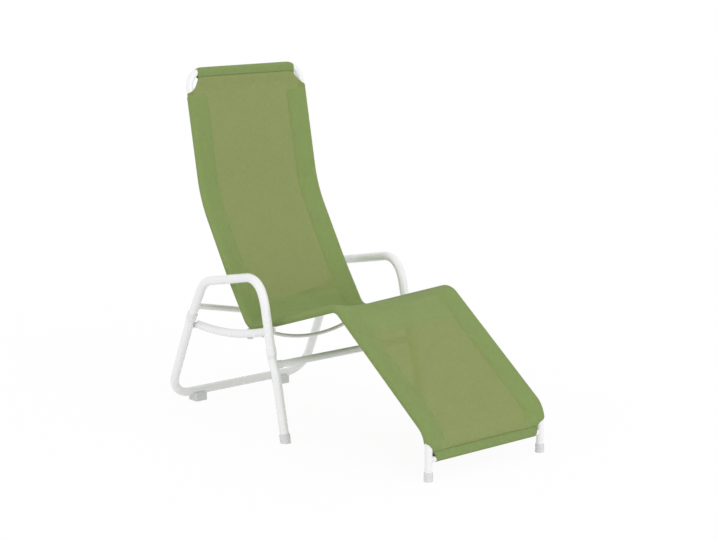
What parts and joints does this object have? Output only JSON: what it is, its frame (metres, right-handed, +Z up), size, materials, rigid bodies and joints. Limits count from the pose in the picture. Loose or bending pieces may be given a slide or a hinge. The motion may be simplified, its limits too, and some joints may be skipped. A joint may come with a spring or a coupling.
{
  "type": "pool lounger",
  "caption": "Tilting pool lounger: a bent white tube base with armrest hoops carries a long lying frame, with a stretched green woven sling, on two side pivots.",
  "frame": {"origin": "on the floor, at the centre of the lounger's length and width with the foot caps down", "axes": "+Z up, +X across the lounger towards the sitter's left, -Y towards the foot end, +Y towards the back rest"},
  "size_m": [0.678, 1.3822, 1.2523],
  "materials": {
    "white_tube": "semi-gloss powder coat",
    "white_plastic": "smooth moulded",
    "grey_plastic": "fine matt moulded",
    "nylon": "plain nylon",
    "fasteners": "zinc plated",
    "sling": "open woven coated yarn"
  },
  "bodies": {
    "base": {"rear_frame": "white_tube", "armrest_hoop_right": "white_tube", "armrest_hoop_left": "white_tube", "front_leg_right": "white_tube", "front_leg_left": "white_tube", "rear_collar_right": "white_plastic", "rear_collar_left": "white_plastic", "front_joint_ring_right": "white_plastic", "front_joint_ring_left": "white_plastic", "front_crossbar": "white_tube", "crossbar_sleeve_right": "white_plastic", "crossbar_sleeve_left": "white_plastic", "rear_stop_bar": "white_tube", "side_bar_right": "white_tube", "side_bar_left": "white_tube", "rear_bracket_right": "white_tube", "rear_bracket_left": "white_tube", "front_bracket_right": "white_tube", "front_bracket_left": "white_tube", "tab_screws": "fasteners", "pivot_bearing_right": "nylon", "pivot_bearing_left": "nylon", "lock_pad_right": "grey_plastic", "lock_pad_left": "grey_plastic", "lock_screws": "fasteners", "leg_cap_right": "grey_plastic", "leg_cap_left": "grey_plastic", "rear_block_right": "grey_plastic", "rear_block_left": "grey_plastic", "block_screws": "fasteners"},
    "lying_frame": {"back_frame": "white_tube", "leg_rail_right": "white_tube", "leg_rail_left": "white_tube", "rail_splice_right": "white_tube", "rail_splice_left": "white_tube", "splice_rivets": "fasteners", "seat_crossbar": "white_tube", "foot_hem_bar": "white_tube", "foot_cap_right": "grey_plastic", "foot_cap_left": "grey_plastic", "pivot_bracket_right": "white_tube", "pivot_bracket_left": "white_tube", "pivot_pin_right": "fasteners", "pivot_pin_left": "fasteners", "pivot_washers": "fasteners", "bracket_screws": "fasteners", "sling_cloth": "sling"}
  },
  "joints": [
    {"name": "lying_frame_tilt", "type": "hinge", "parent": "base", "child": "lying_frame", "pos_m": [0, 0.193, 0.34767], "axis": [-1, 0, 0], "range_deg": [0, 36]}
  ]
}
